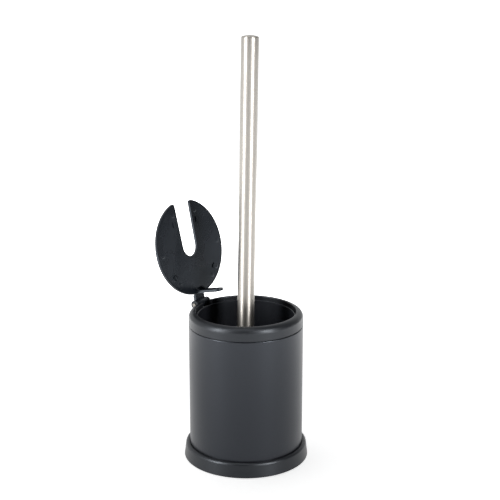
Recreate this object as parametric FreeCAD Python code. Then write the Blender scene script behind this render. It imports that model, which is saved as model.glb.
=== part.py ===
import FreeCAD, Part
import math
import os
from FreeCAD import Vector

# Toilet brush holder: a round canister with a self-closing slotted lid, and its brush.
# Millimetres. Origin: centre of the foot on the floor. +Z up. The lid's hinge is at the
# rear, at +Y, with its axis along X. The lid is stored open, leaning on its stop.

# ---- canister ----
SLEEVE_R = 50.5             # outside radius of the coated steel sleeve
SLEEVE_WALL = 1.0
SLEEVE_HEIGHT = 114.6
SLEEVE_EDGE = 0.8           # rounding of its top edge, on the outside
FIT = 0.3                   # ordinary clearance between pushed-together pieces

BASE_FLARE = 5.1            # foot's widest edge, outside the sleeve
BASE_SHOULDER = 3.8         # where its wall starts to round over, outside the sleeve
BASE_HEIGHT = 13.3
BASE_ROUND = 2.8            # radius of the foot's rounded top edge
BASE_ROUND_TURN = 78        # how far round it goes, degrees
BASE_LIP_DROP = 0.1         # the lip's inner edge, below the top
BASE_LEDGE = 8.0            # height of the ledge that the sleeve stands on
BASE_EDGE = 0.3             # chamfer on its lower edge
BASE_GROOVE = 0.5           # shadow gap between the foot's lip and the sleeve
BASE_FLOOR = 2.5
BASE_SPIGOT_HEIGHT = 14.0   # above the ledge, inside the sleeve
BASE_SPIGOT_WALL = 2.0
BASE_SPIGOT_LEAD = 1.0      # chamfer that leads the sleeve on

PAD_INSET = 4.8             # rubber pad's edge, inside the foot's widest edge
PAD_THICK = 1.2
PAD_PROUD = 0.2             # how far the pad stands below the foot's edge
PAD_MIDDLE_R = 18.0         # radius of the pad's middle land
PAD_RING = 10.8             # width of its outer land
PAD_DISH = 0.4              # depth of the dished ring between them
PAD_SLOPE = 1.0             # width of the slopes into it
PAD_EDGE = 0.4

COLLAR_OVERHANG = 0.1       # how far the collar stands out past the sleeve
COLLAR_HEIGHT = 12.4        # above the sleeve
COLLAR_INSET = 6.3          # its opening, inside the sleeve's outer face
COLLAR_LIP_ROUND = 0.8
COLLAR_FLAT = 0.2           # flat of the crown, between its outer roll and its lip
COLLAR_SKIN = 2.2
COLLAR_CORE_EDGE = 0.6      # more skin at the hollow's top corner
COLLAR_CORE_SLOPE = 1.6     # height of the slope at that corner
COLLAR_INNER_WALL = 1.6
COLLAR_INNER_DROP = 5.0     # inner wall below the sleeve's top
COLLAR_SKIRT_DROP = 12.0    # skirt below the sleeve's top, inside the sleeve
COLLAR_SKIRT_WALL = 1.8
COLLAR_EDGE = 0.7           # chamfer on the lower edge

CUP_WALL = 1.3
CUP_FLOOR = 1.8
CUP_DRAFT = 1.9             # how much narrower the cup is at its floor
CUP_CORNER = 6.0
CUP_STRAIGHT = 31.0         # height of the straight stretch below the rim
CUP_RIM_DROP = 3.9          # rim below the collar's crown
CUP_RIM_EDGE = 0.35         # chamfer on both edges of the rim

# ---- lid and hinge ----
LID_GAP = 1.0               # round the lid in the collar's opening
LID_THICK = 2.8
LID_SEAT_GAP = 0.3          # closed lid above the cup's rim
LID_OPEN_ANGLE = 103.7      # from closed to its open stop, degrees
LID_EDGE_ROUND = 0.8
SLOT_ROOM = 1.7             # each side of the handle, at the slot's round end
SLOT_WIDEN = 1.0            # more, each side, at its mouth
SLOT_CENTRE = 1.15          # round end's centre, from the lid's centre to the mouth
SLOT_CORNER = 2.4           # rounding of the two horns at the mouth
SLOT_CORNER_MIN = 0.6       # and at the least, further in
SLOT_PAST = 5.0             # how far the slot's cut runs on past the lid's edge
COVER_SKIN = 1.3
COVER_RIM = 1.2
PLATE_GAP = 0.15            # between the under plate and the cover's rim
CLIP_WIDTH = 4.6
CLIP_LEG = 1.3
CLIP_HOOK = 1.2             # hook's overhang under the plate
CLIP_HEAD = 0.7             # hook's height under the plate
CLIP_ROOM = 0.25            # room round a clip in its window
CLIP_FLEX = 0.9             # more room behind it, for the clip to bend
CLIP_FROM_SLOT = 4.6        # past the slot's half width at its mouth
CLIP_FORWARD = 23.0         # slot clips, from the lid's centre to the mouth
CLIP_FROM_RIM = 8.7
CLIP_REAR_ANGLE = 49.0      # rear clips, from the hinge side, degrees

HINGE_OUT = 1.24            # hinge axis outside the collar's widest radius
HINGE_OVER_LID = 0.43       # hinge axis above the closed lid's underside
BARREL_R = 4.0
BARREL_HALF = 6.0
PIN_R = 1.25
PIN_RUNNING = 0.05          # radial running clearance of the lid on its pin
PIN_PUSH = 0.02             # radial clearance of the pin in the ears
PIN_HEAD_R = 1.7
PIN_HEAD_THICK = 0.8
PIN_HEAD_RELIEF = 0.3       # cut in the collar round each head
ARM_ROOT = 8.0              # start of the lid's arm, inside the lid's edge
EAR_GAP = 0.4               # each side of the barrel
EAR_THICK = 2.6
NOTCH_UNDER = 0.5           # below the barrel
SADDLE_IN = 6.0             # solid stretch of collar at the hinge, inside the opening
SADDLE_UNDER = 2.0          # and below the notch's floor
GUSSET_TOP = 0.6            # top and reach of the ears' gusset, in barrel radii
GUSSET_LOW = 0.8            # lower corner of its reach, in barrel radii
GUSSET_ROOT = 0.4           # its foot, inside the collar's outer face
PAST = 1.0                  # how far a cut runs on past a face

LEVER_THICK = 2.3
LEVER_WIDTH = 10.0
LEVER_LENGTH = 27.8         # below the lid's underside
LEVER_INSET = 3.6           # its inner face, inside the lid's edge
LEVER_EYE_R = 1.4
LEVER_EYE_RIM = 1.1
LEVER_EYE_PROUD = 0.5
LEVER_RIB = 5.5
LEVER_RIB_THICK = 1.4
BITE = 0.2                  # how far joined shapes run into each other

# ---- brush ----
BRUSH_TILT = 1.5            # lean of the standing brush, towards +X, degrees
BRUSH_FOOT_X = -3.8         # where its axis meets the floor plane
TUBE_R = 7.5
TUBE_WALL = 0.6
TUBE_LENGTH = 253.0
CAP_DOME = 1.7
CAP_PLUG = 12.0
PLUG_FIT = 0.05
INSERT_LENGTH = 20.0
STUD_R = 3.9
STUD_BORE_R = 4.0
STUD_LENGTH = 14.0
STUD_END_ROOM = 1.0         # bush's bore past the stud's end
CORE_R = 13.0
CORE_BOTTOM = 16.0
CORE_BOTTOM_ROUND = 2.0
CORE_SHOULDER = 17.0        # height of the cone between the core and its neck
NECK_OVER_TUBE = 0.4        # neck's radius past the tube's
NECK_LENGTH = 16.5          # with the flange
FLANGE_OVER_TUBE = 1.3
FLANGE_THICK = 2.0
HEAD_UNDER_LEVER = 17.6     # from the shut lid's lever down to the top of the tufts
BRISTLE_ROOM = 4.7          # between the tufts and the cup's wall at its floor
BRISTLE_BOTTOM = 7.0
BRISTLE_ROUND = 9.0
BRISTLE_GAP = 0.2           # tufts' solid round the core

# ---- worked out from the sizes above ----
FOOT_EDGE_Z = PAD_PROUD
FLOOR_UNDER_Z = PAD_THICK
FLOOR_TOP_Z = FLOOR_UNDER_Z + BASE_FLOOR
SLEEVE_INNER_R = SLEEVE_R - SLEEVE_WALL
SPIGOT_R = SLEEVE_INNER_R - FIT
BASE_R = SLEEVE_R + BASE_FLARE
BASE_TOP_R = SLEEVE_R + BASE_SHOULDER
PAD_R = BASE_R - PAD_INSET
SLEEVE_TOP_Z = BASE_LEDGE + SLEEVE_HEIGHT
COLLAR_R = SLEEVE_R + COLLAR_OVERHANG
CROWN_Z = SLEEVE_TOP_Z + COLLAR_HEIGHT
COLLAR_OPENING_R = SLEEVE_R - COLLAR_INSET
COLLAR_ROLL = COLLAR_R - COLLAR_OPENING_R - COLLAR_LIP_ROUND - COLLAR_FLAT
CUP_R = COLLAR_OPENING_R - FIT
CUP_BOTTOM_R = CUP_R - CUP_DRAFT
CUP_RIM_Z = CROWN_Z - CUP_RIM_DROP
LID_R = COLLAR_OPENING_R - LID_GAP
LID_UNDER_Z = CUP_RIM_Z + LID_SEAT_GAP
LEVER_FROM_CENTRE = LID_R - LEVER_INSET
LEVER_TIP_Z = LID_UNDER_Z - LEVER_LENGTH
SLOT_HALF_INNER = TUBE_R + SLOT_ROOM
SLOT_HALF_MOUTH = SLOT_HALF_INNER + SLOT_WIDEN
HINGE_Y = COLLAR_R + HINGE_OUT
HINGE_Z = LID_UNDER_Z + HINGE_OVER_LID
EAR_INNER = BARREL_HALF + EAR_GAP
EAR_OUTER = EAR_INNER + EAR_THICK
NOTCH_FLOOR_Z = HINGE_Z - BARREL_R - NOTCH_UNDER
PLATE_INSET = COVER_RIM + PLATE_GAP
PLATE_THICK = LID_THICK - COVER_SKIN
TUBE_INNER_R = TUBE_R - TUBE_WALL
CORE_TOP = LEVER_TIP_Z - HEAD_UNDER_LEVER
NECK_START = CORE_TOP + CORE_SHOULDER
TUBE_BOTTOM = NECK_START + NECK_LENGTH
TUBE_TOP = TUBE_BOTTOM + TUBE_LENGTH
NECK_R = TUBE_R + NECK_OVER_TUBE
FLANGE_R = TUBE_R + FLANGE_OVER_TUBE
BRISTLE_R = CUP_BOTTOM_R - CUP_WALL - BRISTLE_ROOM
AXIS_Z = Vector(0, 0, 1)
AXIS_X = Vector(1, 0, 0)


def clip_places():
    """Place on the lid (x, y) and turn about Z of each clip, hooks outwards: two beside
    the slot, two near the rim at the rear."""
    beside = SLOT_HALF_MOUTH + CLIP_FROM_SLOT
    rear = math.radians(CLIP_REAR_ANGLE)
    rear_r = LID_R - CLIP_FROM_RIM
    places = []
    for side in (1, -1):
        places.append((side * beside, -CLIP_FORWARD, -90 * side))
        places.append((side * rear_r * math.sin(rear), rear_r * math.cos(rear),
                       -CLIP_REAR_ANGLE * side))
    return places


def edge_loop(points):
    """Closed wire through (r, z) points. A point given as a pair of points is an arc:
    the arc's middle, then its end."""
    edges = []
    here = points[0]
    for step in points[1:] + [points[0]]:
        if isinstance(step[0], tuple):
            middle, end = step
            arc = Part.Arc(Vector(here[0], 0, here[1]), Vector(middle[0], 0, middle[1]),
                           Vector(end[0], 0, end[1]))
            edges.append(arc.toShape())
            here = end
        elif math.dist(here, step) > 1e-6:
            edges.append(Part.makeLine(Vector(here[0], 0, here[1]), Vector(step[0], 0, step[1])))
            here = step
    return Part.Wire(edges)


def turned(points):
    """Solid of revolution about Z from a closed (r, z) outline."""
    solid = Part.Face(edge_loop(points)).revolve(Vector(0, 0, 0), AXIS_Z, 360)
    return solid if solid.Volume > 0 else solid.reversed()


def round_corner(centre, radius, start_deg, end_deg):
    """Arc step for an outline: the middle and the end of an arc about centre."""
    def at(angle):
        a = math.radians(angle)
        return (centre[0] + radius * math.cos(a), centre[1] + radius * math.sin(a))
    return (at((start_deg + end_deg) / 2), at(end_deg))


def block(x0, x1, y0, y1, z0, z1):
    return Part.makeBox(x1 - x0, y1 - y0, z1 - z0, Vector(x0, y0, z0))


def rod_x(radius, x0, x1, y, z):
    """Round bar along X."""
    return Part.makeCylinder(radius, x1 - x0, Vector(x0, y, z), AXIS_X)


def disc(radius, z0, z1):
    return Part.makeCylinder(radius, z1 - z0, Vector(0, 0, z0))


# ---- canister pieces ----

def base_ring():
    """Moulded foot: floor, flared wall with a rounded top edge, and the spigot that the
    sleeve is pushed over."""
    lip_r = SLEEVE_R + BASE_GROOVE
    round_z = BASE_HEIGHT - BASE_ROUND
    round_r = BASE_TOP_R - BASE_ROUND
    spigot_top = BASE_LEDGE + BASE_SPIGOT_HEIGHT
    outline = [
        (0, FLOOR_UNDER_Z),
        (PAD_R + FIT, FLOOR_UNDER_Z),
        (PAD_R + FIT, FOOT_EDGE_Z),
        (BASE_R - BASE_EDGE, FOOT_EDGE_Z),
        (BASE_R, FOOT_EDGE_Z + BASE_EDGE),
        (BASE_TOP_R, round_z),
        round_corner((round_r, round_z), BASE_ROUND, 0, BASE_ROUND_TURN),
        (lip_r, BASE_HEIGHT - BASE_LIP_DROP),
        (lip_r, BASE_LEDGE),
        (SPIGOT_R, BASE_LEDGE),
        (SPIGOT_R, spigot_top - BASE_SPIGOT_LEAD),
        (SPIGOT_R - BASE_SPIGOT_LEAD, spigot_top),
        (SPIGOT_R - BASE_SPIGOT_WALL, spigot_top),
        (SPIGOT_R - BASE_SPIGOT_WALL, FLOOR_TOP_Z),
        (0, FLOOR_TOP_Z),
    ]
    return turned(outline)


def non_slip_pad():
    """Rubber disc bonded into the foot's recess, with a shallow dished ring underneath."""
    return turned([
        (0, 0),
        (PAD_MIDDLE_R, 0),
        (PAD_MIDDLE_R + PAD_SLOPE, PAD_DISH),
        (PAD_R - PAD_RING - PAD_SLOPE, PAD_DISH),
        (PAD_R - PAD_RING, 0),
        (PAD_R - PAD_EDGE, 0),
        (PAD_R, PAD_EDGE),
        (PAD_R, PAD_THICK),
        (0, PAD_THICK),
    ])


def outer_sleeve():
    """Powder-coated steel tube, its top edge rounded on the outside."""
    round_z = SLEEVE_TOP_Z - SLEEVE_EDGE
    return turned([
        (SLEEVE_INNER_R, BASE_LEDGE),
        (SLEEVE_R, BASE_LEDGE),
        (SLEEVE_R, round_z),
        round_corner((SLEEVE_R - SLEEVE_EDGE, round_z), SLEEVE_EDGE, 0, 90),
        (SLEEVE_INNER_R, SLEEVE_TOP_Z),
    ])


def collar_section(cored):
    """Outline of the collar ring, hollow underneath when cored."""
    roll_r = COLLAR_R - COLLAR_ROLL
    roll_z = CROWN_Z - COLLAR_ROLL
    lip = COLLAR_LIP_ROUND
    skirt_r = SLEEVE_INNER_R - FIT
    outline = [
        (COLLAR_R - COLLAR_EDGE, SLEEVE_TOP_Z),
        (COLLAR_R, SLEEVE_TOP_Z + COLLAR_EDGE),
        (COLLAR_R, roll_z),
        round_corner((roll_r, roll_z), COLLAR_ROLL, 0, 90),
        (COLLAR_OPENING_R + lip, CROWN_Z),
        round_corner((COLLAR_OPENING_R + lip, CROWN_Z - lip), lip, 90, 180),
    ]
    if not cored:
        return outline + [(COLLAR_OPENING_R, SLEEVE_TOP_Z)]
    inner_z = SLEEVE_TOP_Z - COLLAR_INNER_DROP
    skirt_z = SLEEVE_TOP_Z - COLLAR_SKIRT_DROP
    core_r = COLLAR_OPENING_R + COLLAR_INNER_WALL
    core_z = CROWN_Z - COLLAR_SKIN - COLLAR_CORE_EDGE
    shoulder_z = SLEEVE_TOP_Z + COLLAR_SKIN
    return outline + [
        (COLLAR_OPENING_R, inner_z),
        (core_r, inner_z),
        (core_r, core_z),
        (COLLAR_R - COLLAR_SKIN - COLLAR_CORE_EDGE, core_z),
        (COLLAR_R - COLLAR_SKIN, core_z - COLLAR_CORE_SLOPE),
        (COLLAR_R - COLLAR_SKIN, shoulder_z),
        (skirt_r - COLLAR_SKIRT_WALL, shoulder_z),
        (skirt_r - COLLAR_SKIRT_WALL, skirt_z),
        (skirt_r, skirt_z),
        (skirt_r, SLEEVE_TOP_Z),
    ]


def top_collar():
    """Moulded collar with a rolled crown. At the rear it is notched for the lid's barrel,
    and two ears carry the pin."""
    ring = turned(collar_section(True))
    full = turned(collar_section(False))
    rear = COLLAR_OPENING_R - SADDLE_IN
    gusset_low = NOTCH_FLOOR_Z - SADDLE_UNDER
    saddle = full.common(block(-EAR_OUTER, EAR_OUTER, rear, COLLAR_R + PAST,
                               gusset_low, CROWN_Z + PAST))
    ear = rod_x(BARREL_R, -EAR_OUTER, EAR_OUTER, HINGE_Y, HINGE_Z)
    gusset_top = HINGE_Z + BARREL_R * GUSSET_TOP
    root_y = COLLAR_R - COLLAR_SKIN
    profile = Part.makePolygon([
        Vector(-EAR_OUTER, root_y, gusset_top),
        Vector(-EAR_OUTER, HINGE_Y, gusset_top),
        Vector(-EAR_OUTER, HINGE_Y + BARREL_R * GUSSET_TOP, HINGE_Z - BARREL_R * GUSSET_LOW),
        Vector(-EAR_OUTER, COLLAR_R - GUSSET_ROOT, gusset_low),
        Vector(-EAR_OUTER, root_y, gusset_low),
        Vector(-EAR_OUTER, root_y, gusset_top),
    ])
    gusset = Part.Face(profile).extrude(Vector(2 * EAR_OUTER, 0, 0))
    body = ring.fuse([saddle, ear, gusset])
    notch_top = max(CROWN_Z, HINGE_Z + BARREL_R) + PAST
    notch = block(-EAR_INNER, EAR_INNER, rear - PAST, HINGE_Y + BARREL_R + PAST,
                  NOTCH_FLOOR_Z, notch_top)
    bore = rod_x(PIN_R + PIN_PUSH, -EAR_OUTER - PAST, EAR_OUTER + PAST, HINGE_Y, HINGE_Z)
    relief = PIN_HEAD_R + PIN_HEAD_RELIEF
    reach = EAR_OUTER + PIN_HEAD_THICK + PIN_HEAD_RELIEF
    left = rod_x(relief, -reach, -EAR_OUTER, HINGE_Y, HINGE_Z)
    right = rod_x(relief, EAR_OUTER, reach, HINGE_Y, HINGE_Z)
    return body.cut([notch, bore, left, right])


def inner_cup():
    """Plastic liner that stands in the foot and catches the drips."""
    straight_z = CUP_RIM_Z - CUP_STRAIGHT
    low = FLOOR_TOP_Z
    inner_corner = CUP_CORNER - CUP_WALL
    inner_low = low + CUP_FLOOR
    rim = CUP_RIM_EDGE
    slope = (CUP_R - CUP_BOTTOM_R) / (straight_z - low)
    corner_r = CUP_BOTTOM_R + slope * CUP_CORNER
    outline = [
        (0, low),
        (corner_r - CUP_CORNER, low),
        round_corner((corner_r - CUP_CORNER, low + CUP_CORNER), CUP_CORNER, -90, 0),
        (CUP_R, straight_z),
        (CUP_R, CUP_RIM_Z - rim),
        (CUP_R - rim, CUP_RIM_Z),
        (CUP_R - CUP_WALL + rim, CUP_RIM_Z),
        (CUP_R - CUP_WALL, CUP_RIM_Z - rim),
        (CUP_R - CUP_WALL, straight_z),
        (corner_r - CUP_WALL, inner_low + inner_corner),
        round_corner((corner_r - CUP_WALL - inner_corner, inner_low + inner_corner),
                     inner_corner, 0, -90),
        (0, inner_low),
    ]
    return turned(outline)


def hinge_pin():
    """Steel pin through both ears and the lid's barrel, with a flat head at each end."""
    shank = rod_x(PIN_R, -EAR_OUTER, EAR_OUTER, HINGE_Y, HINGE_Z)
    left = rod_x(PIN_HEAD_R, -EAR_OUTER - PIN_HEAD_THICK, -EAR_OUTER, HINGE_Y, HINGE_Z)
    right = rod_x(PIN_HEAD_R, EAR_OUTER, EAR_OUTER + PIN_HEAD_THICK, HINGE_Y, HINGE_Z)
    return shank.fuse([left, right])


# ---- lid pieces, built closed and then opened ----

def slot_prism(grow, z0, z1):
    """The slot's own volume, wider all round by grow, open past the mouth."""
    half_in = SLOT_HALF_INNER + grow
    reach = LID_R + SLOT_PAST
    widen = (SLOT_HALF_MOUTH - SLOT_HALF_INNER) / (LID_R - SLOT_CENTRE)
    half_out = half_in + widen * (reach - SLOT_CENTRE)
    corners = [
        Vector(-half_in, -SLOT_CENTRE, z0),
        Vector(-half_out, -reach, z0),
        Vector(half_out, -reach, z0),
        Vector(half_in, -SLOT_CENTRE, z0),
        Vector(-half_in, -SLOT_CENTRE, z0),
    ]
    wedge = Part.Face(Part.makePolygon(corners)).extrude(Vector(0, 0, z1 - z0))
    end = Part.makeCylinder(half_in, z1 - z0, Vector(0, -SLOT_CENTRE, z0))
    return wedge.fuse(end).removeSplitter()


def slotted_disc(inset, z0, z1):
    """Lid outline moved inwards by inset, with the horns at the mouth rounded."""
    body = disc(LID_R - inset, z0, z1).cut(slot_prism(inset, z0 - PAST, z1 + PAST))
    radius = max(SLOT_CORNER - inset, SLOT_CORNER_MIN)
    horns = []
    for edge in body.Edges:
        a, b = edge.Vertexes[0].Point, edge.Vertexes[-1].Point
        upright = abs(a.x - b.x) < 1e-6 and abs(a.y - b.y) < 1e-6
        if upright and a.y < -LID_R / 2:
            horns.append(edge)
    return body.makeFillet(radius, horns)


def at_clips(make_block):
    """One block for each clip, turned and moved to its place."""
    shapes = []
    for x, y, turn in clip_places():
        shape = make_block()
        shape.rotate(Vector(0, 0, 0), AXIS_Z, turn)
        shape.translate(Vector(x, y, 0))
        shapes.append(shape)
    return shapes


def clip_leg():
    half = CLIP_WIDTH / 2
    return block(-half, half, -CLIP_LEG / 2, CLIP_LEG / 2, LID_UNDER_Z, LID_UNDER_Z + PLATE_THICK)


def clip_hook():
    """Head that turns outwards under the plate."""
    half = CLIP_WIDTH / 2
    reach = CLIP_LEG / 2 + CLIP_ROOM + CLIP_HOOK
    return block(-half, half, -CLIP_LEG / 2, reach, LID_UNDER_Z - CLIP_HEAD, LID_UNDER_Z)


def clip_window():
    half = CLIP_WIDTH / 2 + CLIP_ROOM
    near = CLIP_LEG / 2 + CLIP_ROOM
    return block(-half, half, -near - CLIP_FLEX, near,
                 LID_UNDER_Z - PAST, LID_UNDER_Z + PLATE_THICK + PAST)


def arm_block(grow, z0, z1):
    """Flat arm from the lid to the barrel."""
    return block(-BARREL_HALF - grow, BARREL_HALF + grow, LID_R - ARM_ROOT, HINGE_Y, z0, z1)


def lid_cover():
    """Upper shell of the lid: a skin with a rim all round, open under the arm, and four
    clips that snap through the under plate."""
    low, top = LID_UNDER_Z, LID_UNDER_Z + LID_THICK
    shell = slotted_disc(0, low, top)
    top_edges = [e for e in shell.Edges if all(abs(v.Z - top) < 1e-6 for v in e.Vertexes)]
    shell = shell.makeFillet(LID_EDGE_ROUND, top_edges)
    shell = shell.cut(slotted_disc(COVER_RIM, low - PAST, low + PLATE_THICK))
    shell = shell.cut(arm_block(PLATE_GAP, low - PAST, low + PLATE_THICK))
    return shell.fuse(at_clips(clip_leg) + at_clips(clip_hook)).removeSplitter()


def lever_tongue():
    """Tongue below the lid that the brush head pushes down to shut the lid. Its end is
    round, with an eye in a raised rim, and ribs stiffen its root."""
    y0 = LEVER_FROM_CENTRE
    y1 = y0 + LEVER_THICK
    half = LEVER_WIDTH / 2
    eye_z = LEVER_TIP_Z + half
    along_y = Vector(0, 1, 0)
    tongue = block(-half, half, y0, y1, eye_z, LID_UNDER_Z + BITE)
    tongue = tongue.fuse(Part.makeCylinder(half, LEVER_THICK, Vector(0, y0, eye_z), along_y))
    rim = Part.makeCylinder(LEVER_EYE_R + LEVER_EYE_RIM, LEVER_THICK + LEVER_EYE_PROUD,
                            Vector(0, y0 - LEVER_EYE_PROUD, eye_z), along_y)
    eye = Part.makeCylinder(LEVER_EYE_R, LEVER_THICK + 2 * (LEVER_EYE_PROUD + PAST),
                            Vector(0, y0 - LEVER_EYE_PROUD - PAST, eye_z), along_y)
    ribs = []
    for side in (-1, 1):
        x0 = side * (half - LEVER_RIB_THICK / 2) - LEVER_RIB_THICK / 2
        corner = Part.makePolygon([
            Vector(x0, y0 + BITE, LID_UNDER_Z + BITE),
            Vector(x0, y0 - LEVER_RIB / 2, LID_UNDER_Z + BITE),
            Vector(x0, y0 + BITE, LID_UNDER_Z - LEVER_RIB),
            Vector(x0, y0 + BITE, LID_UNDER_Z + BITE),
        ])
        ribs.append(Part.Face(corner).extrude(Vector(LEVER_RIB_THICK, 0, 0)))
    return tongue.fuse([rim] + ribs).cut(eye)


def lid_plate():
    """Under plate of the lid: windows for the clips, the arm and barrel of the hinge,
    and the lever tongue."""
    low = LID_UNDER_Z
    top = low + PLATE_THICK
    plate = slotted_disc(PLATE_INSET, low, top)
    for window in at_clips(clip_window):
        plate = plate.cut(window)
    barrel = rod_x(BARREL_R, -BARREL_HALF, BARREL_HALF, HINGE_Y, HINGE_Z)
    arm = arm_block(0, low, top)
    heel_y = LID_R + FIT
    heel = block(-BARREL_HALF, BARREL_HALF, heel_y, HINGE_Y, low, low + LID_THICK)
    bore = rod_x(PIN_R + PIN_RUNNING, -BARREL_HALF - PAST, BARREL_HALF + PAST,
                 HINGE_Y, HINGE_Z)
    return plate.fuse([arm, heel, barrel, lever_tongue()]).cut(bore).removeSplitter()


def opened(shape):
    """Lid piece swung from closed to its open stop."""
    shape.rotate(Vector(0, HINGE_Y, HINGE_Z), AXIS_X, -LID_OPEN_ANGLE)
    return shape


# ---- brush pieces, built upright and then leaned ----

def handle_tube():
    """Brushed stainless tube."""
    outside = disc(TUBE_R, TUBE_BOTTOM, TUBE_TOP)
    return outside.cut(disc(TUBE_INNER_R, TUBE_BOTTOM - PAST, TUBE_TOP + PAST))


def handle_cap():
    """Low domed stainless cap, pushed into the top of the tube."""
    plug_r = TUBE_INNER_R - PLUG_FIT
    sphere_r = (TUBE_R ** 2 + CAP_DOME ** 2) / (2 * CAP_DOME)
    half_angle = math.asin(TUBE_R / sphere_r) / 2
    middle = (sphere_r * math.sin(half_angle),
              TUBE_TOP + CAP_DOME - sphere_r * (1 - math.cos(half_angle)))
    return turned([
        (0, TUBE_TOP - CAP_PLUG),
        (plug_r, TUBE_TOP - CAP_PLUG),
        (plug_r, TUBE_TOP),
        (TUBE_R, TUBE_TOP),
        (middle, (0, TUBE_TOP + CAP_DOME)),
    ])


def handle_insert():
    """Threaded bush fixed in the tube's lower end; the brush head screws into it."""
    bush = disc(TUBE_INNER_R - PLUG_FIT, TUBE_BOTTOM, TUBE_BOTTOM + INSERT_LENGTH)
    return bush.cut(disc(STUD_BORE_R, TUBE_BOTTOM - PAST,
                         TUBE_BOTTOM + STUD_LENGTH + STUD_END_ROOM))


def brush_core():
    """Moulded core that holds the tufts, with its neck, flange and stud."""
    flange_low = TUBE_BOTTOM - FLANGE_THICK
    return turned([
        (0, CORE_BOTTOM),
        (CORE_R - CORE_BOTTOM_ROUND, CORE_BOTTOM),
        round_corner((CORE_R - CORE_BOTTOM_ROUND, CORE_BOTTOM + CORE_BOTTOM_ROUND),
                     CORE_BOTTOM_ROUND, -90, 0),
        (CORE_R, CORE_TOP),
        (NECK_R, NECK_START),
        (NECK_R, flange_low),
        (FLANGE_R, flange_low),
        (FLANGE_R, TUBE_BOTTOM),
        (STUD_R, TUBE_BOTTOM),
        (STUD_R, TUBE_BOTTOM + STUD_LENGTH),
        (0, TUBE_BOTTOM + STUD_LENGTH),
    ])


def side_bristles():
    """Outer shape of the tufts round the core."""
    inner = CORE_R + BRISTLE_GAP
    return turned([
        (inner, CORE_BOTTOM),
        (BRISTLE_R, CORE_BOTTOM),
        (BRISTLE_R, CORE_TOP - BRISTLE_ROUND),
        round_corner((BRISTLE_R - BRISTLE_ROUND, CORE_TOP - BRISTLE_ROUND),
                     BRISTLE_ROUND, 0, 90),
        (inner, CORE_TOP),
    ])


def end_bristles():
    """Outer shape of the tufts under the core, which the brush stands on."""
    top = CORE_BOTTOM - BRISTLE_GAP
    return turned([
        (0, BRISTLE_BOTTOM),
        (BRISTLE_R - BRISTLE_ROUND, BRISTLE_BOTTOM),
        round_corner((BRISTLE_R - BRISTLE_ROUND, top), top - BRISTLE_BOTTOM, -90, 0),
        (0, top),
    ])


def leaned(shape):
    """Brush piece moved from upright on Z to where it stands in the cup."""
    shape.rotate(Vector(0, 0, 0), Vector(0, 1, 0), BRUSH_TILT)
    shape.translate(Vector(BRUSH_FOOT_X, 0, 0))
    return shape


def main():
    os.makedirs("parts", exist_ok=True)
    pieces = {
        "base_ring": base_ring(),
        "non_slip_pad": non_slip_pad(),
        "outer_sleeve": outer_sleeve(),
        "top_collar": top_collar(),
        "inner_cup": inner_cup(),
        "hinge_pin": hinge_pin(),
        "lid_cover": opened(lid_cover()),
        "lid_plate": opened(lid_plate()),
        "handle_tube": leaned(handle_tube()),
        "handle_cap": leaned(handle_cap()),
        "handle_insert": leaned(handle_insert()),
        "brush_core": leaned(brush_core()),
        "side_bristles": leaned(side_bristles()),
        "end_bristles": leaned(end_bristles()),
    }
    for name, shape in pieces.items():
        box = shape.BoundBox
        print(f"{name:14s} solids {len(shape.Solids)} valid {shape.isValid()} "
              f"volume {shape.Volume / 1000:8.2f} cm3  z {box.ZMin:7.2f} to {box.ZMax:7.2f}")
        shape.exportStep(f"parts/{name}.step")


main()
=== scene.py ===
import math

import bmesh
import bpy
from mathutils import Matrix, Vector


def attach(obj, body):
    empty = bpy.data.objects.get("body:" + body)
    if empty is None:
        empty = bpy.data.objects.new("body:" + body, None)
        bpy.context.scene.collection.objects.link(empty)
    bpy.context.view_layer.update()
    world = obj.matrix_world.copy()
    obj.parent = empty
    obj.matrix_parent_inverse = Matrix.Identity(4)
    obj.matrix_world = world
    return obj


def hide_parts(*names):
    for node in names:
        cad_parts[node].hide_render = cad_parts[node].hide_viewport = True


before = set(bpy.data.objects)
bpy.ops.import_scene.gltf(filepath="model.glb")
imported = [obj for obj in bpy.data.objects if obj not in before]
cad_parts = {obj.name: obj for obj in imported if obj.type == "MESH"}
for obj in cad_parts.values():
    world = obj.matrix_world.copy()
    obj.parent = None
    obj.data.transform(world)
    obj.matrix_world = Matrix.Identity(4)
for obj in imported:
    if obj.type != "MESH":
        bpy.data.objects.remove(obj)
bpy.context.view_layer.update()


# ---------------------------------------------------------------- camera and studio
# A product table in a white studio, with two upright softboxes and one overhead. The
# softboxes are flagged off the table, which is lit from below instead, most strongly in a
# ring 0.5 to 1 m out, whose reflection fills the fronts of the handle and the sleeve.

CAMERA_PLACE = (-0.7860, -0.6182, 0.4598)
CAMERA_TILT = 74.9           # from straight down, degrees
CAMERA_TURN = -52.02         # about Z, from looking along +Y
CAMERA_LENS = 85.87
SIDE_BOX = (0.28, 1.3)       # metres, wide and tall
SIDE_BOX_HEIGHT = 0.65       # of its middle
SIDE_BOX_AWAY = 1.3
SIDE_BOX_POWER = 27.5        # watts
TOP_BOX = (0.7, 0.5)
TOP_BOX_HEIGHT = 1.7
TOP_BOX_AWAY = 0.5
TOP_BOX_POWER = 4.0
AIM_HEIGHT = 0.15            # the point on the holder's axis that the softboxes face
HORIZON_LIGHT = 1.15
ZENITH_LIGHT = 0.6
DARK_SIDE = 40.0             # bearing of the studio's unlit side, degrees to the right
DARK_SIDE_SHARE = 0.08       # of the light elsewhere
DARK_SIDE_FADE = (-0.45, 0.5)    # cosines of the bearings where it starts and is full
TABLE_HALF = 14.0
TABLE_REACH = 3.0            # metres, how far the glow changes
TABLE_GLOW = 2.6             # at its brightest
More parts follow.
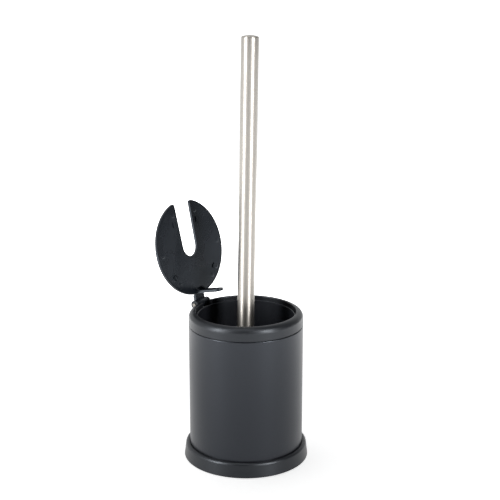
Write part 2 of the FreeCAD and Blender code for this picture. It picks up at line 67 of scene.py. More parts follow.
TABLE_FADE = (               # distance as a share of the reach, glow as a share of the most
    (0.0, 0.28), (0.04, 0.28), (0.08, 0.30), (0.13, 0.42), (0.19, 1.0), (0.32, 0.95),
    (0.42, 0.36), (1.0, 0.34))

camera_data = bpy.data.cameras.new("camera")
camera_data.lens = CAMERA_LENS
camera_data.sensor_width = 36.0
camera_data.clip_end = 50.0
camera = bpy.data.objects.new("camera", camera_data)
camera.location = CAMERA_PLACE
camera.rotation_euler = (math.radians(CAMERA_TILT), 0.0, math.radians(CAMERA_TURN))
bpy.context.scene.collection.objects.link(camera)
bpy.context.scene.camera = camera
bpy.context.scene.view_settings.view_transform = "Standard"


def linear(hex_colour):
    """An sRGB hex colour as linear red, green, blue and alpha 1."""
    parts = [int(hex_colour[i:i + 2], 16) / 255 for i in (1, 3, 5)]
    return tuple(c / 12.92 if c <= 0.04045 else ((c + 0.055) / 1.055) ** 2.4
                 for c in parts) + (1.0,)


def add_node(tree, kind, inputs=None, **settings):
    """Adds a node. settings are its own properties. inputs gives a socket, by name or by
    number, its value, or the output that is linked to it."""
    node = tree.nodes.new(kind)
    for name, value in settings.items():
        setattr(node, name, value)
    for key, value in (inputs or {}).items():
        if isinstance(value, bpy.types.NodeSocket):
            tree.links.new(value, node.inputs[key])
        else:
            node.inputs[key].default_value = value
    return node


def new_material(name):
    material = bpy.data.materials.new(name)
    material.use_nodes = True
    material.node_tree.nodes.clear()
    return material, material.node_tree


def toward(side):
    """Level direction from the holder, side degrees to the right of the camera's."""
    bearing = math.radians(CAMERA_TURN + side)
    return Vector((math.sin(bearing), -math.cos(bearing), 0.0))


def softbox(name, side, height, away, size, power):
    """Area light aimed at the holder, kept off what is in the collection flagged."""
    target = Vector((0.0, 0.0, AIM_HEIGHT))
    light_data = bpy.data.lights.new(name, "AREA")
    light_data.shape = "RECTANGLE"
    light_data.size, light_data.size_y = size
    light_data.energy = power
    light = bpy.data.objects.new(name, light_data)
    light.location = toward(side) * away + Vector((0.0, 0.0, height))
    light.rotation_euler = (target - light.location).to_track_quat("-Z", "Y").to_euler()
    light.light_linking.receiver_collection = flagged
    bpy.context.scene.collection.objects.link(light)


flagged = bpy.data.collections.new("flagged_off")
for name, side in (("softbox_left", -57.0), ("softbox_right", 43.0)):
    softbox(name, side, SIDE_BOX_HEIGHT, SIDE_BOX_AWAY, SIDE_BOX, SIDE_BOX_POWER)
softbox("softbox_top", -10.0, TOP_BOX_HEIGHT, TOP_BOX_AWAY, TOP_BOX, TOP_BOX_POWER)

studio = bpy.data.worlds.new("studio")
studio.use_nodes = True
tree = studio.node_tree
tree.nodes.clear()
direction = add_node(tree, "ShaderNodeTexCoord").outputs["Generated"]
height = add_node(tree, "ShaderNodeSeparateXYZ", {0: direction}).outputs["Z"]
by_height = add_node(tree, "ShaderNodeMapRange", {
    "Value": height, "To Min": HORIZON_LIGHT, "To Max": ZENITH_LIGHT})
to_dark_side = add_node(tree, "ShaderNodeVectorMath", {0: direction, 1: toward(DARK_SIDE)},
                        operation="DOT_PRODUCT")
by_side = add_node(tree, "ShaderNodeMapRange", {
    "Value": to_dark_side.outputs["Value"], "From Min": DARK_SIDE_FADE[0],
    "From Max": DARK_SIDE_FADE[1], "To Min": 1.0, "To Max": DARK_SIDE_SHARE},
    interpolation_type="SMOOTHSTEP")
strength = add_node(tree, "ShaderNodeMath", {0: by_height.outputs[0], 1: by_side.outputs[0]},
                    operation="MULTIPLY")
glow = add_node(tree, "ShaderNodeBackground", {"Color": linear("#fafbfc"),
                                               "Strength": strength.outputs[0]})
add_node(tree, "ShaderNodeOutputWorld", {"Surface": glow.outputs[0]})
bpy.context.scene.world = studio

table_mesh = bpy.data.meshes.new("table")
table_mesh.from_pydata([(x * TABLE_HALF, y * TABLE_HALF, 0.0)
                        for x, y in ((-1, -1), (1, -1), (1, 1), (-1, 1))], [], [(0, 1, 2, 3)])
table = bpy.data.objects.new("table", table_mesh)
bpy.context.scene.collection.objects.link(table)
table_acrylic, tree = new_material("white_matt_acrylic")
place = add_node(tree, "ShaderNodeTexCoord").outputs["Object"]
far = add_node(tree, "ShaderNodeVectorMath", {0: place}, operation="LENGTH")
share = add_node(tree, "ShaderNodeMath", {0: far.outputs["Value"], 1: TABLE_REACH},
                 operation="DIVIDE", use_clamp=True)
lit = add_node(tree, "ShaderNodeFloatCurve", {"Value": share.outputs[0]})
curve = lit.mapping.curves[0]
curve.points[0].location, curve.points[1].location = TABLE_FADE[0], TABLE_FADE[-1]
for stop in TABLE_FADE[1:-1]:
    curve.points.new(*stop)
lit.mapping.update()
strength = add_node(tree, "ShaderNodeMath", {0: lit.outputs[0], 1: TABLE_GLOW},
                    operation="MULTIPLY")
shader = add_node(tree, "ShaderNodeBsdfPrincipled", {
    "Base Color": linear("#f9f9f8"), "Roughness": 0.9, "Emission Color": linear("#ffffff"),
    "Emission Strength": strength.outputs[0]})
add_node(tree, "ShaderNodeOutputMaterial", {"Surface": shader.outputs[0]})
table_mesh.materials.append(table_acrylic)
flagged.objects.link(table)
flagged.collection_objects[0].light_linking.link_state = "EXCLUDE"


# ---------------------------------------------------------------- foot pad
# A disc of soft black rubber, bonded into the recess under the foot. The holder stands
# on its middle land and its outer ring.

def finish_node(name, material):
    """Gives a CAD node its material."""
    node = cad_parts[name]
    node.data.materials.clear()
    node.data.materials.append(material)


rubber, tree = new_material("black_nitrile_rubber")
# Dull and slightly dusty: broad soft reflections, no clear highlight. Dust lies in
# patches of about 4 mm, and the moulded skin has a fine tooth of 0.6 mm.
place = add_node(tree, "ShaderNodeTexCoord").outputs["Object"]
dust = add_node(tree, "ShaderNodeTexNoise", {"Vector": place, "Scale": 260.0, "Detail": 4.0})
tooth = add_node(tree, "ShaderNodeTexNoise", {"Vector": place, "Scale": 1600.0, "Detail": 2.0})
tone = add_node(tree, "ShaderNodeMix", {0: dust.outputs["Fac"], 6: linear("#121212"),
                                        7: linear("#1d1d1c")}, data_type="RGBA")
rise = add_node(tree, "ShaderNodeBump", {"Height": tooth.outputs["Fac"], "Strength": 0.6,
                                         "Distance": 0.00005})
shader = add_node(tree, "ShaderNodeBsdfPrincipled",
                  {"Base Color": tone.outputs[2], "Roughness": 0.75, "IOR": 1.52,
                   "Normal": rise.outputs[0]})
add_node(tree, "ShaderNodeOutputMaterial", {"Surface": shader.outputs[0]})
finish_node("non_slip_pad", rubber)


# ---------------------------------------------------------------- foot
# One moulding of black polypropylene, flared, with a rounded top edge. The sleeve is
# pushed over a spigot inside it, which leaves a narrow dark groove round the sleeve.

GLOSS_DRIFT = 0.03           # in roughness, each way


def moulded_plastic(name, dark, light, roughness, grain_mm, grain_depth_mm, flow_mm=35.0,
                    ior=1.44, tinge="#eff6ff"):
    """Injection-moulded plastic. Its tone and gloss drift slowly over flow_mm, as the melt
    flowed, and the mould's spark-eroded skin leaves a grain of grain_mm. Its highlights
    take on the tinge, as a black pigment's sheen does."""
    material, tree = new_material(name)
    place = add_node(tree, "ShaderNodeTexCoord").outputs["Object"]
    flow = add_node(tree, "ShaderNodeTexNoise", {"Vector": place, "Scale": 1000 / flow_mm,
                                                 "Detail": 2.0, "Distortion": 0.6})
    grain = add_node(tree, "ShaderNodeTexNoise", {"Vector": place, "Scale": 1000 / grain_mm,
                                                  "Detail": 3.0})
    tone = add_node(tree, "ShaderNodeMix", {0: flow.outputs["Fac"], 6: linear(dark),
                                            7: linear(light)}, data_type="RGBA")
    gloss = add_node(tree, "ShaderNodeMapRange", {
        "Value": flow.outputs["Fac"], "From Min": 0.3, "From Max": 0.7,
        "To Min": roughness - GLOSS_DRIFT, "To Max": roughness + GLOSS_DRIFT})
    rise = add_node(tree, "ShaderNodeBump", {"Height": grain.outputs["Fac"], "Strength": 0.7,
                                             "Distance": grain_depth_mm / 1000})
    shader = add_node(tree, "ShaderNodeBsdfPrincipled", {
        "Base Color": tone.outputs[2], "Roughness": gloss.outputs[0], "IOR": ior,
        "Specular Tint": linear(tinge), "Normal": rise.outputs[0]})
    add_node(tree, "ShaderNodeOutputMaterial", {"Surface": shader.outputs[0]})
    return material


# Satin black with a cool tinge: soft-edged highlights on the rounded edge. The real grain
# is about 0.3 mm, too fine to show, so it is drawn at 0.9 mm and shallow.
foot_plastic = moulded_plastic("satin_black_polypropylene", "#07080a", "#0b0c0f", 0.38,
                               grain_mm=0.9, grain_depth_mm=0.012)
finish_node("base_ring", foot_plastic)


# ---------------------------------------------------------------- cup
# The liner that stands in the foot and catches the drips: thin black polypropylene with
# a polished inside, so that it wipes clean. Only its rim and upper wall are ever seen.

# Nearly black, with long dim reflections down the wall.
cup_plastic = moulded_plastic("glossy_black_polypropylene", "#0e0f12", "#15161a", 0.34,
                              grain_mm=1.6, grain_depth_mm=0.006, flow_mm=22.0)
finish_node("inner_cup", cup_plastic)


# ---------------------------------------------------------------- sleeve
# The outer tube of thin steel sheet, powder-coated dark grey in a fine satin. Its top
# edge is rounded and shows as a bright thread in the seam under the collar.

powder_coat, tree = new_material("dark_grey_powder_coat")
# Baked polyester powder: an even satin that brightens towards its sides. The powder flows
# into a faint orange peel of about 2 mm, with a finer sparkle of cured grains over it,
# drawn at 0.8 mm because the real 0.1 mm is too fine to show.
place = add_node(tree, "ShaderNodeTexCoord").outputs["Object"]
peel = add_node(tree, "ShaderNodeTexNoise", {"Vector": place, "Scale": 500.0, "Detail": 1.0})
grains = add_node(tree, "ShaderNodeTexNoise", {"Vector": place, "Scale": 1250.0,
                                               "Detail": 3.0, "Roughness": 0.65})
drift = add_node(tree, "ShaderNodeTexNoise", {"Vector": place, "Scale": 18.0, "Detail": 2.0})
tone = add_node(tree, "ShaderNodeMix", {0: grains.outputs["Fac"], 6: linear("#0a0b0d"),
                                        7: linear("#131417")}, data_type="RGBA")
gloss = add_node(tree, "ShaderNodeMapRange", {
    "Value": drift.outputs["Fac"], "From Min": 0.3, "From Max": 0.7, "To Min": 0.33,
    "To Max": 0.38})
relief = add_node(tree, "ShaderNodeMath", {0: peel.outputs["Fac"], 1: grains.outputs["Fac"]},
                  operation="ADD")
rise = add_node(tree, "ShaderNodeBump", {"Height": relief.outputs[0], "Strength": 0.6,
                                         "Distance": 0.000012})
shader = add_node(tree, "ShaderNodeBsdfPrincipled", {
    "Base Color": tone.outputs[2], "Roughness": gloss.outputs[0], "IOR": 1.45,
    "Specular Tint": linear("#e9f1ff"), "Normal": rise.outputs[0]})
add_node(tree, "ShaderNodeOutputMaterial", {"Surface": shader.outputs[0]})
finish_node("outer_sleeve", powder_coat)


# ---------------------------------------------------------------- collar
# The moulded ring pressed into the top of the sleeve, with a fat rolled crown. At the
# rear it is notched for the lid's barrel, and two ears carry the pin.

# The same satin black as the foot, a little smoother from a better polished mould.
collar_plastic = moulded_plastic("smooth_black_polypropylene", "#08090b", "#0c0d10", 0.38,
                                 grain_mm=0.9, grain_depth_mm=0.008)
finish_node("top_collar", collar_plastic)


# ---------------------------------------------------------------- hinge pin
# A turned stainless pin, pushed through the ears and the lid's barrel, with a low head.

pin_steel, tree = new_material("turned_stainless_steel")
# Bright, with fine rings left by the lathe, 0.25 mm apart, drawn as they are.
place = add_node(tree, "ShaderNodeTexCoord").outputs["Object"]
rings = add_node(tree, "ShaderNodeTexWave", {"Vector": place, "Scale": 640.0},
                 wave_type="BANDS", bands_direction="X")
tone = add_node(tree, "ShaderNodeMix", {0: rings.outputs["Fac"], 6: linear("#77746f"),
                                        7: linear("#8a8782")}, data_type="RGBA")
rise = add_node(tree, "ShaderNodeBump", {"Height": rings.outputs["Fac"], "Strength": 0.3,
                                         "Distance": 0.00001})
shader = add_node(tree, "ShaderNodeBsdfPrincipled", {
    "Base Color": tone.outputs[2], "Metallic": 1.0, "Roughness": 0.25,
    "Normal": rise.outputs[0]})
add_node(tree, "ShaderNodeOutputMaterial", {"Surface": shader.outputs[0]})
finish_node("hinge_pin", pin_steel)


# ---------------------------------------------------------------- lid
# Two black ABS mouldings snapped together: the upper shell, and the under plate with the
# arm, the barrel and the lever that the brush head pushes down. The plate keeps the small
# round marks of the pins that pushed it out of its mould.

HINGE = Vector((0.0, 0.05184, 0.13183))
LID_OPEN = math.radians(-103.7)
LID_UNDER_Z = 0.1314
MARK_R = 0.0020
MARK_RIM = 0.00045
MARK_HEIGHT = 0.0001
MARKS = ((14.8, -31.3), (-29.6, 24.1), (-22.1, 30.6), (-37.3, 1.3))   # mm, and mirrored

# Semi-gloss blue-black: darker and tighter reflections than the collar's.
lid_plastic = moulded_plastic("semi_gloss_black_abs", "#06080c", "#090c11", 0.27,
                              grain_mm=1.2, grain_depth_mm=0.01, flow_mm=28.0, ior=1.58,
                              tinge="#e4f1ff")
finish_node("lid_cover", lid_plastic)
finish_node("lid_plate", lid_plastic)


def named_input(tree, name, kind, value):
    """Adds a named input to a geometry tree and returns its identifier."""
    socket = tree.interface.new_socket(name, in_out="INPUT", socket_type=kind)
    if value is not None:
        socket.default_value = value
    return socket.identifier


def grown(carrier, tree, values):
    """The plain mesh that a geometry tree makes from the carrier, with the tree's inputs
    set by identifier. The carrier keeps its name and loses the modifier."""
    modifier = carrier.modifiers.new("grow", "NODES")
    modifier.node_group = tree
    for identifier, value in values.items():
        modifier[identifier] = value
    bpy.context.view_layer.update()
    graph = bpy.context.evaluated_depsgraph_get()
    result = bpy.data.meshes.new_from_object(carrier.evaluated_get(graph))
    result.name = carrier.name
    carrier.modifiers.remove(modifier)
    carrier.data = result
    return carrier


def point_carrier(name, points, vectors):
    """An object of loose points, each with a vector in the attribute reach."""
    mesh = bpy.data.meshes.new(name)
    mesh.from_pydata(points, [], [])
    reach = mesh.attributes.new("reach", "FLOAT_VECTOR", "POINT")
    reach.data.foreach_set("vector", [c for v in vectors for c in v])
    carrier = bpy.data.objects.new(name, mesh)
    bpy.context.scene.collection.objects.link(carrier)
    return carrier


mark_tree = bpy.data.node_groups.new("ejector_marks", "GeometryNodeTree")
mark_tree.interface.new_socket("Geometry", in_out="INPUT", socket_type="NodeSocketGeometry")
mark_tree.interface.new_socket("Geometry", in_out="OUTPUT", socket_type="NodeSocketGeometry")
radius_id = named_input(mark_tree, "Radius", "NodeSocketFloat", 0.002)
rim_id = named_input(mark_tree, "Rim", "NodeSocketFloat", 0.0003)
high_id = named_input(mark_tree, "Height", "NodeSocketFloat", 0.0001)
finish_id = named_input(mark_tree, "Finish", "NodeSocketMaterial", None)
given = add_node(mark_tree, "NodeGroupInput").outputs
along = add_node(mark_tree, "GeometryNodeInputNamedAttribute", {"Name": "reach"},
                 data_type="FLOAT_VECTOR")
turn = add_node(mark_tree, "FunctionNodeAlignRotationToVector", {"Vector": along.outputs[0]},
                axis="Z")
inner = add_node(mark_tree, "ShaderNodeMath", {0: given["Radius"], 1: given["Rim"]},
                 operation="SUBTRACT")
disc = add_node(mark_tree, "GeometryNodeMeshCone", {
    "Vertices": 20, "Radius Bottom": given["Radius"], "Radius Top": inner.outputs[0],
    "Depth": given["Height"]})
placed = add_node(mark_tree, "GeometryNodeInstanceOnPoints", {
    "Points": given["Geometry"], "Instance": disc.outputs["Mesh"],
    "Rotation": turn.outputs[0]})
real = add_node(mark_tree, "GeometryNodeRealizeInstances", {0: placed.outputs[0]})
finished = add_node(mark_tree, "GeometryNodeSetMaterial", {
    "Geometry": real.outputs[0], "Material": given["Finish"]})
add_node(mark_tree, "NodeGroupOutput", {0: finished.outputs[0]})

lid_turn = Matrix.Translation(HINGE) @ Matrix.Rotation(LID_OPEN, 4, "X") \
    @ Matrix.Translation(-HINGE)
spots = [Vector((side * x / 1000, y / 1000, LID_UNDER_Z)) for x, y in MARKS
         for side in (1, -1)]
outward = lid_turn.to_3x3() @ Vector((0.0, 0.0, -1.0))
marks = point_carrier("ejector_marks", [lid_turn @ p for p in spots], [outward] * len(spots))
grown(marks, mark_tree, {radius_id: MARK_R, rim_id: MARK_RIM, high_id: MARK_HEIGHT,
                         finish_id: lid_plastic})
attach(marks, "lid")


# ---------------------------------------------------------------- handle
# A stainless tube, brushed round and round on a belt, with a low domed cap pressed into
# its top and a threaded plastic bush in its lower end.

LEAN = math.radians(1.5)
BRUSH_FOOT_X = -0.0038
TUBE_R = 0.0075
TUBE_WALL = 0.0006
TUBE_BOTTOM = 0.1195
TUBE_TOP = 0.3725
TUBE_EDGE = 0.00025          # rounding of the cut ends
CAP_DOME = 0.0017
CAP_PLUG = 0.012
CAP_EDGE = 0.0006
PLUG_FIT = 0.00005           # of the cap's plug in the tube
LATHE_SIDES = 96
BRUSH_LINES = 1400.0         # lines to the metre, along the tube
BRUSH_STREAKS = 3.0          # lengths of a line, to the turn
TUBE_STRETCHES = 12          # rings of faces along the tube
brush_place = Matrix.Translation((BRUSH_FOOT_X, 0.0, 0.0)) @ Matrix.Rotation(LEAN, 4, "Y")


def arc(centre_r, centre_z, radius, start_deg, end_deg, steps):
    """Points (r, z) along an arc, both ends included."""
    angles = [math.radians(start_deg + (end_deg - start_deg) * i / steps)
              for i in range(steps + 1)]
    return [(centre_r + radius * math.cos(a), centre_z + radius * math.sin(a))
            for a in angles]


def lathe(name, outline, material, closed=False):
    """A turned piece from its (r, z) outline, leaned with the brush. The UV map brushed
    runs with the piece's length in U and round it in V, so that U is across the lines."""
    mesh = bpy.data.meshes.new(name)
    maker = bmesh.new()
    uv = maker.loops.layers.uv.new("brushed")
    lengths = [0.0]
    ring_count = len(outline)
    path = outline + ([outline[0]] if closed else [])
    for a, b in zip(path[:-1], path[1:]):
        lengths.append(lengths[-1] + math.dist(a, b))
    rings = []
    for r, z in outline:
        if r < 1e-7:
            rings.append([maker.verts.new((0.0, 0.0, z))] * LATHE_SIDES)
        else:
            rings.append([maker.verts.new((r * math.cos(2 * math.pi * i / LATHE_SIDES),
                                           r * math.sin(2 * math.pi * i / LATHE_SIDES), z))
                          for i in range(LATHE_SIDES)])
    last = ring_count if closed else ring_count - 1
    for j in range(last):
        low, high = rings[j], rings[(j + 1) % ring_count]
        for i in range(LATHE_SIDES):
            k = (i + 1) % LATHE_SIDES
            corners = [(low[i], lengths[j], i), (low[k], lengths[j], i + 1),
                       (high[k], lengths[j + 1], i + 1), (high[i], lengths[j + 1], i)]
            if low[i] is low[k]:
                corners.pop(1)
            if high[i] is high[k]:
                corners.pop(2)
            face = maker.faces.new([c[0] for c in corners])
            face.smooth = True
            for loop, corner in zip(face.loops, corners):
                loop[uv].uv = (corner[1], corner[2] / LATHE_SIDES)
    bmesh.ops.recalc_face_normals(maker, faces=maker.faces)
    maker.to_mesh(mesh)
    maker.free()
    mesh.transform(brush_place)
    mesh.materials.append(material)
    piece = bpy.data.objects.new(name, mesh)
    bpy.context.scene.collection.objects.link(piece)
    return piece


brushed_steel, tree = new_material("brushed_stainless_steel")
# Warm grey 304 stainless, belt-brushed round the tube: each lamp becomes a long upright
# stripe with soft sides. The lines are drawn 0.7 mm apart, coarser than the real 0.1 mm.
around = add_node(tree, "ShaderNodeUVMap", uv_map="brushed").outputs[0]
stretch = add_node(tree, "ShaderNodeMapping", {"Vector": around,
                                               "Scale": (BRUSH_LINES, BRUSH_STREAKS, 1.0)})
lines = add_node(tree, "ShaderNodeTexNoise", {"Vector": stretch.outputs[0], "Scale": 1.0,
                                              "Detail": 2.0}, noise_dimensions="2D")
place = add_node(tree, "ShaderNodeTexCoord").outputs["Object"]
handling = add_node(tree, "ShaderNodeTexNoise", {"Vector": place, "Scale": 45.0,
                                                 "Detail": 3.0})
tone = add_node(tree, "ShaderNodeMix", {0: lines.outputs["Fac"], 6: linear("#a39f99"),
                                        7: linear("#afaba5")}, data_type="RGBA")
gloss = add_node(tree, "ShaderNodeMapRange", {
    "Value": handling.outputs["Fac"], "From Min": 0.3, "From Max": 0.7, "To Min": 0.41,
    "To Max": 0.45})
rise = add_node(tree, "ShaderNodeBump", {"Height": lines.outputs["Fac"], "Strength": 0.25,
                                         "Distance": 0.000008})
grain_way = add_node(tree, "ShaderNodeTangent", direction_type="UV_MAP", uv_map="brushed")
shader = add_node(tree, "ShaderNodeBsdfPrincipled", {
    "Base Color": tone.outputs[2], "Metallic": 1.0, "Roughness": gloss.outputs[0],
    "Anisotropic": 0.75, "Tangent": grain_way.outputs[0], "Normal": rise.outputs[0]})
add_node(tree, "ShaderNodeOutputMaterial", {"Surface": shader.outputs[0]})

inner_r = TUBE_R - TUBE_WALL
edge = TUBE_EDGE
tube_outline = (
    arc(TUBE_R - edge, TUBE_BOTTOM + edge, edge, -90, 0, 4)
    + [(TUBE_R, TUBE_BOTTOM + (TUBE_TOP - TUBE_BOTTOM) * i / TUBE_STRETCHES)
       for i in range(1, TUBE_STRETCHES)]
    + arc(TUBE_R - edge, TUBE_TOP - edge, edge, 0, 90, 4)
    + [(inner_r, TUBE_TOP), (inner_r, TUBE_BOTTOM)])
tube = lathe("brushed_handle_tube", tube_outline, brushed_steel, closed=True)
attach(tube, "brush")
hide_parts("handle_tube")

plug_r = inner_r - PLUG_FIT
dome_r = TUBE_R - CAP_EDGE
sphere = (dome_r ** 2 + (CAP_DOME - CAP_EDGE) ** 2) / (2 * (CAP_DOME - CAP_EDGE))
slope = math.degrees(math.asin(dome_r / sphere))
cap_outline = (
    [(0.0, TUBE_TOP - CAP_PLUG), (plug_r, TUBE_TOP - CAP_PLUG), (plug_r, TUBE_TOP),
     (dome_r, TUBE_TOP)]
    + arc(dome_r, TUBE_TOP + CAP_EDGE / 2, CAP_EDGE / 2, -60, 60, 4)
    + arc(0.0, TUBE_TOP + CAP_DOME - sphere, sphere, 90 - slope, 90, 8))
cap = lathe("brushed_handle_cap", cap_outline, brushed_steel)
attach(cap, "brush")
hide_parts("handle_cap")

# Black glass-filled nylon, dry and slightly rough from the glass at its surface.
bush_nylon = moulded_plastic("glass_filled_nylon", "#141416", "#232326", 0.55,
                             grain_mm=0.7, grain_depth_mm=0.02, flow_mm=8.0, ior=1.53)
finish_node("handle_insert", bush_nylon)


# ---------------------------------------------------------------- brush core
# The moulded head that holds the tufts. Its neck ends in a flange against the tube, and
# its threaded stud screws into the handle's bush.

# Plain black polypropylene straight from the mould, a little duller than the collar.
core_plastic = moulded_plastic("matt_black_polypropylene", "#0e0e10", "#16161a", 0.42,
                               grain_mm=0.8, grain_depth_mm=0.015)
finish_node("brush_core", core_plastic)


# ---------------------------------------------------------------- bristles
# Tufts of stiff white nylon, folded over a staple and driven into holes in the core. The
# side tufts stand out like spokes; the end tufts fan out under the core.

CORE_R = 0.0130
CORE_LOW = 0.0160
CORE_HIGH = 0.0860
HEAD_R = 0.0360
HEAD_ROUND = 0.0090
SIDE_RINGS = 11
SIDE_TUFTS = 24
SIDE_FILAMENTS = 20
END_FILAMENTS = 26
FILAMENT_R = 0.00024         # a 0.3 mm filament, drawn at 0.48 mm so that it shows
HOLE_R = 0.0011
SPREAD = 0.0038              # how far a tuft's tips stray from its middle
BEND = 0.002                 # how far they bend aside
END_HOLE_R = 0.0006
END_SPREAD = 0.0016
END_BEND = 0.001
ROW_MARGIN = 0.0035          # from the core's ends to the first and last rings of holes
SHOULDER_ROOM = 0.002        # tips kept below the head's rounded shoulder
TIP_ROOM = 0.0008            # and inside its outline
ROOT_DEPTH = 0.0004          # roots sunk into the core
END_ROOT_DEPTH = 0.0002
END_RINGS = (                # radius of the holes, then radius and height of the tips
    (0.0, 0.0, 0.0076), (0.0035, 0.0085, 0.0078), (0.0065, 0.0165, 0.0080),
    (0.0090, 0.0240, 0.0086), (0.0112, 0.0300, 0.0108), (0.0118, 0.0325, 0.0132))

nylon, tree = new_material("white_nylon_filament")
# Extruded nylon 6.12: milky, slightly translucent, with a silky gloss along each hair.
# The tone shifts from hair to hair over about 2 mm.
place = add_node(tree, "ShaderNodeTexCoord").outputs["Object"]
hairs = add_node(tree, "ShaderNodeTexNoise", {"Vector": place, "Scale": 500.0, "Detail": 2.0})
tone = add_node(tree, "ShaderNodeMix", {0: hairs.outputs["Fac"], 6: linear("#d9d6cc"),
                                        7: linear("#f1efe8")}, data_type="RGBA")
shader = add_node(tree, "ShaderNodeBsdfPrincipled", {
    "Base Color": tone.outputs[2], "Roughness": 0.4, "IOR": 1.53, "Subsurface Weight": 0.15,
    "Subsurface Radius": (0.0008, 0.0008, 0.0008)})
add_node(tree, "ShaderNodeOutputMaterial", {"Surface": shader.outputs[0]})

tuft_tree = bpy.data.node_groups.new("nylon_tufts", "GeometryNodeTree")
tuft_tree.interface.new_socket("Geometry", in_out="INPUT", socket_type="NodeSocketGeometry")
tuft_tree.interface.new_socket("Geometry", in_out="OUTPUT", socket_type="NodeSocketGeometry")
count_id = named_input(tuft_tree, "Filaments", "NodeSocketInt", 20)
thick_id = named_input(tuft_tree, "Filament radius", "NodeSocketFloat", 0.0002)
hole_id = named_input(tuft_tree, "Hole radius", "NodeSocketFloat", 0.001)
spread_id = named_input(tuft_tree, "Tip spread", "NodeSocketFloat", 0.003)
bend_id = named_input(tuft_tree, "Bend", "NodeSocketFloat", 0.001)
seed_id = named_input(tuft_tree, "Seed", "NodeSocketInt", 7)
finish_id = named_input(tuft_tree, "Finish", "NodeSocketMaterial", None)
given = add_node(tuft_tree, "NodeGroupInput").outputs
copies = add_node(tuft_tree, "GeometryNodeDuplicateElements", {
    "Geometry": given["Geometry"], "Amount": given["Filaments"]}, domain="POINT")
stray = add_node(tuft_tree, "FunctionNodeRandomValue", {
    0: (-1.0, -1.0, -1.0), 1: (1.0, 1.0, 1.0), "Seed": given["Seed"]},
    data_type="FLOAT_VECTOR")
at_root = add_node(tuft_tree, "ShaderNodeVectorMath", {
    0: stray.outputs[0], "Scale": given["Hole radius"]}, operation="SCALE")
rooted = add_node(tuft_tree, "GeometryNodeSetPosition", {
    "Geometry": copies.outputs[0], "Offset": at_root.outputs[0]})
reach = add_node(tuft_tree, "GeometryNodeInputNamedAttribute", {"Name": "reach"},
                 data_type="FLOAT_VECTOR")
at_tip = add_node(tuft_tree, "ShaderNodeVectorMath", {
    0: stray.outputs[0], "Scale": given["Tip spread"]}, operation="SCALE")
aim = add_node(tuft_tree, "ShaderNodeVectorMath", {
    0: reach.outputs[0], 1: at_tip.outputs[0]}, operation="ADD")
turn = add_node(tuft_tree, "FunctionNodeAlignRotationToVector", {"Vector": aim.outputs[0]},
                axis="Z")
long = add_node(tuft_tree, "ShaderNodeVectorMath", {0: reach.outputs[0]}, operation="LENGTH")
size = add_node(tuft_tree, "ShaderNodeCombineXYZ", {
    "X": given["Filament radius"], "Y": given["Filament radius"],
    "Z": long.outputs["Value"]})
hair = add_node(tuft_tree, "GeometryNodeMeshCone", {
    "Vertices": 4, "Side Segments": 3, "Radius Bottom": 1.0, "Radius Top": 0.7,
    "Depth": 1.0})
spot = add_node(tuft_tree, "GeometryNodeInputPosition")
up_hair = add_node(tuft_tree, "ShaderNodeSeparateXYZ", {0: spot.outputs[0]})
marked = add_node(tuft_tree, "GeometryNodeStoreNamedAttribute", {
    "Geometry": hair.outputs["Mesh"], "Name": "along", "Value": up_hair.outputs["Z"]},
    data_type="FLOAT", domain="POINT")
planted = add_node(tuft_tree, "GeometryNodeInstanceOnPoints", {
    "Points": rooted.outputs[0], "Instance": marked.outputs[0], "Rotation": turn.outputs[0],
    "Scale": size.outputs[0]})
real = add_node(tuft_tree, "GeometryNodeRealizeInstances", {0: planted.outputs[0]})
wander = add_node(tuft_tree, "ShaderNodeTexNoise", {"Scale": 160.0, "Detail": 1.0})
centred = add_node(tuft_tree, "ShaderNodeVectorMath", {
    0: wander.outputs["Color"], 1: (0.5, 0.5, 0.5)}, operation="SUBTRACT")
height = add_node(tuft_tree, "GeometryNodeInputNamedAttribute", {"Name": "along"},
                  data_type="FLOAT")
squared = add_node(tuft_tree, "ShaderNodeMath", {0: height.outputs[0], 1: height.outputs[0]},
                   operation="MULTIPLY")
amount = add_node(tuft_tree, "ShaderNodeMath", {0: squared.outputs[0], 1: given["Bend"]},
                  operation="MULTIPLY")
offset = add_node(tuft_tree, "ShaderNodeVectorMath", {
    0: centred.outputs[0], "Scale": amount.outputs[0]}, operation="SCALE")
bent = add_node(tuft_tree, "GeometryNodeSetPosition", {
    "Geometry": real.outputs[0], "Offset": offset.outputs[0]})
finished = add_node(tuft_tree, "GeometryNodeSetMaterial", {
    "Geometry": bent.outputs[0], "Material": given["Finish"]})
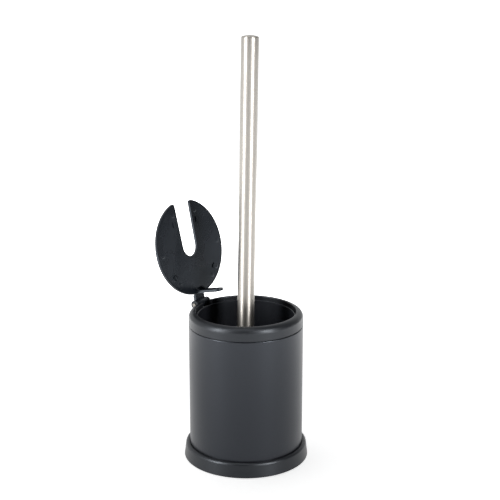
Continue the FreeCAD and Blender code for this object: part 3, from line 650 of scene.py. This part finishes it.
add_node(tuft_tree, "NodeGroupOutput", {0: finished.outputs[0]})

# Side tufts: rings of holes, each ring turned half a step from the last.
roots, reaches = [], []
for ring in range(SIDE_RINGS):
    z = CORE_LOW + ROW_MARGIN \
        + (CORE_HIGH - CORE_LOW - 2 * ROW_MARGIN) * ring / (SIDE_RINGS - 1)
    over = max(0.0, z + SHOULDER_ROOM - (CORE_HIGH - HEAD_ROUND))
    tip_r = HEAD_R - HEAD_ROUND + math.sqrt(HEAD_ROUND ** 2 - over ** 2)
    for tuft in range(SIDE_TUFTS):
        angle = 2 * math.pi * (tuft + 0.5 * (ring % 2)) / SIDE_TUFTS
        out = Vector((math.cos(angle), math.sin(angle), 0.0))
        roots.append(out * (CORE_R - ROOT_DEPTH) + Vector((0.0, 0.0, z)))
        reaches.append(out * (tip_r - CORE_R - TIP_ROOM))
side = point_carrier("side_tufts", roots, reaches)
grown(side, tuft_tree, {count_id: SIDE_FILAMENTS, thick_id: FILAMENT_R, hole_id: HOLE_R,
                        spread_id: SPREAD, bend_id: BEND, seed_id: 11, finish_id: nylon})
side.data.transform(brush_place)
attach(side, "brush")
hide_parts("side_bristles")

# End tufts: rings of holes in the core's lower face, the outer ones splayed most.
roots, reaches = [], []
for ring, (hole_r, tip_r, tip_z) in enumerate(END_RINGS):
    tufts = 1 if ring == 0 else 5 + 5 * ring
    for tuft in range(tufts):
        angle = 2 * math.pi * (tuft + 0.5 * (ring % 2)) / tufts
        out = Vector((math.cos(angle), math.sin(angle), 0.0))
        root = out * hole_r + Vector((0.0, 0.0, CORE_LOW + END_ROOT_DEPTH))
        roots.append(root)
        reaches.append(out * tip_r + Vector((0.0, 0.0, tip_z)) - root)
end = point_carrier("end_tufts", roots, reaches)
grown(end, tuft_tree, {count_id: END_FILAMENTS, thick_id: FILAMENT_R, hole_id: END_HOLE_R,
                       spread_id: END_SPREAD, bend_id: END_BEND, seed_id: 23,
                       finish_id: nylon})
end.data.transform(brush_place)
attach(end, "brush")
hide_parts("end_bristles")
